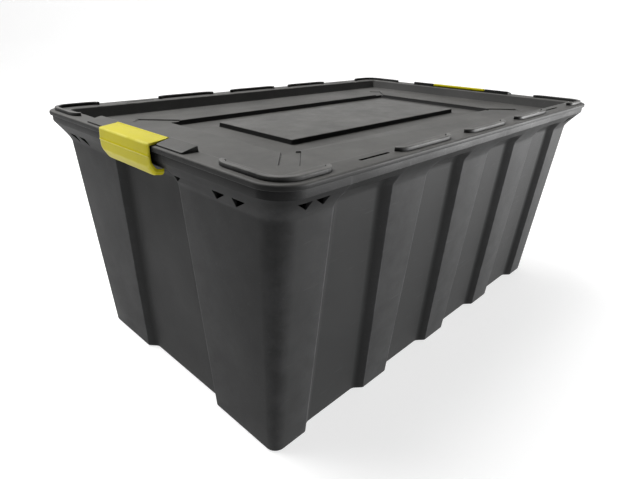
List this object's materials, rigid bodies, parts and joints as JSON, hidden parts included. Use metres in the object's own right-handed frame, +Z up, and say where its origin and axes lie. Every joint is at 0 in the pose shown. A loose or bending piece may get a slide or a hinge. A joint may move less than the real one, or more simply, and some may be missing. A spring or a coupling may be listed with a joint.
{
  "type": "stackable storage bin",
  "caption": "Large black stackable storage bin: a tapered tub with fluted walls, a lift-off lid with a stacking tray, and a yellow snap latch hinged at each end.",
  "frame": {"origin": "centre of the base, on the ground", "axes": "+X along the bin towards the right-hand latch, +Y across the bin, +Z up out of the tub's mouth"},
  "size_m": [0.7894, 0.526, 0.3626],
  "materials": {
    "tub_plastic": "charcoal black moulded polypropylene, fine satin grain",
    "lid_plastic": "charcoal black moulded polypropylene, slightly smoother than the tub",
    "latch_plastic": "bright yellow moulded polypropylene, semi-gloss"
  },
  "bodies": {
    "tub": {"tub": "tub_plastic"},
    "lid": {"lid": "lid_plastic"},
    "latch_left": {"latch_left": "latch_plastic"},
    "latch_right": {"latch_right": "latch_plastic"}
  },
  "joints": [
    {"name": "lid_lift", "type": "slide", "parent": "tub", "child": "lid", "axis": [0, 0, 1], "range_m": [0, 0.06]},
    {"name": "latch_left_swing", "type": "hinge", "parent": "lid", "child": "latch_left", "pos_m": [-0.369, 0, 0.3594], "axis": [0, 1, 0], "range_deg": [0, 115]},
    {"name": "latch_right_swing", "type": "hinge", "parent": "lid", "child": "latch_right", "pos_m": [0.369, 0, 0.3594], "axis": [0, -1, 0], "range_deg": [0, 115]}
  ],
  "couplings": [
    {"joint": "latch_left_swing", "follows": "lid_lift", "rad_per_m": 33.4},
    {"joint": "latch_right_swing", "follows": "lid_lift", "rad_per_m": 33.4}
  ]
}
